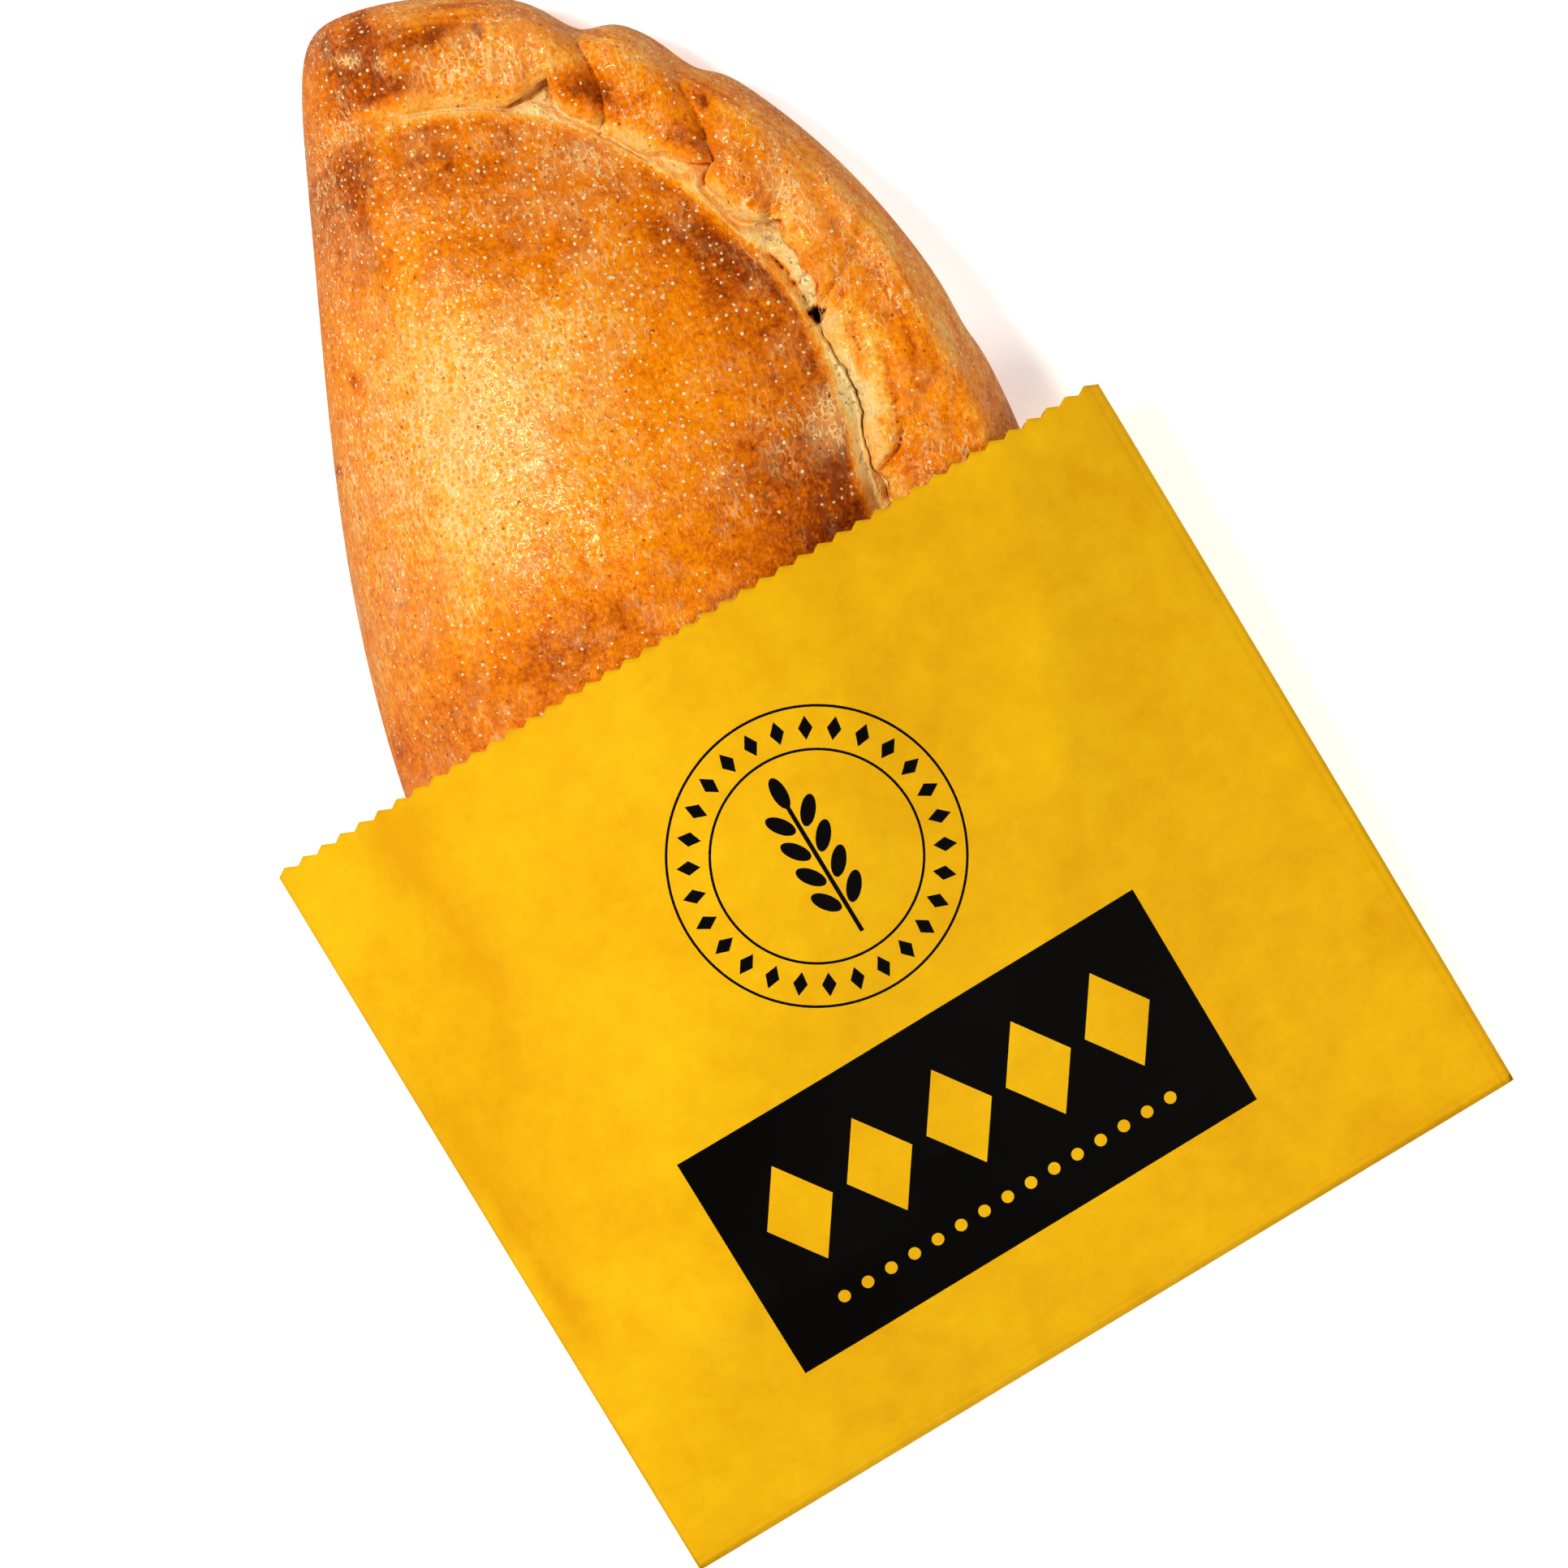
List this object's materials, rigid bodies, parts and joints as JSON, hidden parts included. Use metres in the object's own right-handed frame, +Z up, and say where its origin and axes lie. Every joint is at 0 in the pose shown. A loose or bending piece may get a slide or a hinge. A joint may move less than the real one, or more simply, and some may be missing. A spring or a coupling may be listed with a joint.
{
  "type": "cornish pasty",
  "caption": "Large side-crimped baked pasty, glazed golden brown, lying half out of a flat yellow paper bag with a toothed mouth and a plain dark printed panel",
  "frame": {"origin": "middle of the footprint's bounding box, on the table", "axes": "+Z up; +X along the bag's mouth; +Y from the bag's foot to the pasty's free end"},
  "size_m": [0.1518, 0.2408, 0.0454],
  "materials": {
    "baked_crust": null,
    "yellow_paper": null
  },
  "bodies": {
    "root": {"pasty": "baked_crust", "bag": "yellow_paper"}
  },
  "joints": []
}
